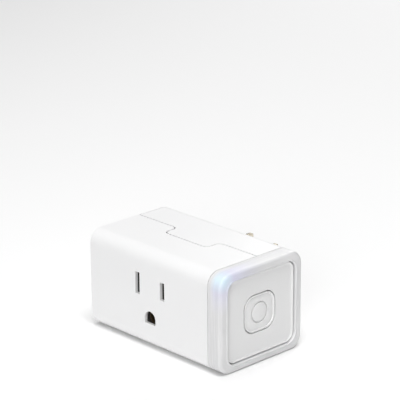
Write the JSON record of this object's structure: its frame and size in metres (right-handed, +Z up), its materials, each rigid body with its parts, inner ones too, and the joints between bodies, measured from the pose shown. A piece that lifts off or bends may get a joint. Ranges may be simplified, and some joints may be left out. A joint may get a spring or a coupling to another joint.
{
  "type": "smart plug",
  "caption": "Compact white plug-in smart outlet with a pass-through grounded socket, a glowing end ring and a pillow-shaped push button on its end.",
  "frame": {"origin": "centre of the rear face, which lies against the wall plate", "axes": "+X along the body towards the button end, +Y into the wall, the way the blades point, +Z up with the earth pin below the blades"},
  "size_m": [0.067, 0.0602, 0.0364],
  "materials": {
    "white_casing": "satin moulded polycarbonate",
    "panel_plastic": "fine satin moulding",
    "button_plastic": "satin moulding",
    "diffuser": "translucent light guide",
    "nickel_brass": "nickel-plated, brushed lengthwise",
    "bronze_contact": "rolled phosphor bronze",
    "copper": "bare copper",
    "zinc_steel": "zinc plated",
    "can_metal": "tinned sheet",
    "grey_insulator": "glass-filled nylon",
    "black_plastic": "moulded epoxy",
    "green_board": "solder mask",
    "relay_plastic": "moulded cover",
    "capacitor_sleeve": "shrink sleeve",
    "ferrite": "sintered",
    "varistor_coat": "epoxy dip",
    "resistor_coat": "cement coat",
    "winding_tape": "polyester tape",
    "plunger_plastic": "moulded",
    "lamp": "clear lens"
  },
  "bodies": {
    "casing": {"front_shell": "white_casing", "rear_cover": "white_casing", "light_ring": "diffuser", "end_panel": "panel_plastic", "line_blade": "nickel_brass", "neutral_blade": "nickel_brass", "ground_pin": "nickel_brass", "blade_carrier": "grey_insulator", "socket_carrier": "grey_insulator", "line_contact": "bronze_contact", "neutral_contact": "bronze_contact", "ground_contact": "bronze_contact", "line_busbar": "copper", "neutral_busbar": "copper", "ground_strap": "copper", "carrier_screws": "zinc_steel", "main_board": "green_board", "board_screws": "zinc_steel", "relay_case": "relay_plastic", "relay_base": "black_plastic", "relay_coil": "copper", "relay_yoke": "zinc_steel", "relay_contacts": "bronze_contact", "bulk_capacitors": "capacitor_sleeve", "output_capacitor": "capacitor_sleeve", "filter_inductor": "ferrite", "varistor": "varistor_coat", "fuse_resistor": "resistor_coat", "transformer_core": "ferrite", "transformer_coil": "winding_tape", "bridge_rectifier": "black_plastic", "power_chip": "black_plastic", "wifi_board": "green_board", "wifi_shield": "can_metal", "board_header": "black_plastic", "button_board": "green_board", "tact_switch": "black_plastic", "status_leds": "lamp", "light_baffle": "white_casing"},
    "button": {"power_button": "button_plastic"},
    "plunger": {"switch_plunger": "plunger_plastic"},
    "armature": {"relay_armature": "zinc_steel"}
  },
  "joints": [
    {"name": "button_press", "type": "slide", "parent": "casing", "child": "button", "axis": [-1, 0, 0], "range_m": [0, 0.0005], "stiffness_N_per_m": 2500},
    {"name": "plunger_press", "type": "slide", "parent": "casing", "child": "plunger", "axis": [-1, 0, 0], "range_m": [0, 0.0005]},
    {"name": "armature_rock", "type": "hinge", "parent": "casing", "child": "armature", "pos_m": [-0.0232, -0.0232, -0.00245], "axis": [-1, 0, 0], "range_deg": [0, 2.5], "stiffness_Nm_per_rad": 0.05}
  ],
  "couplings": [
    {"joint": "plunger_press", "follows": "button_press", "ratio": 1}
  ]
}
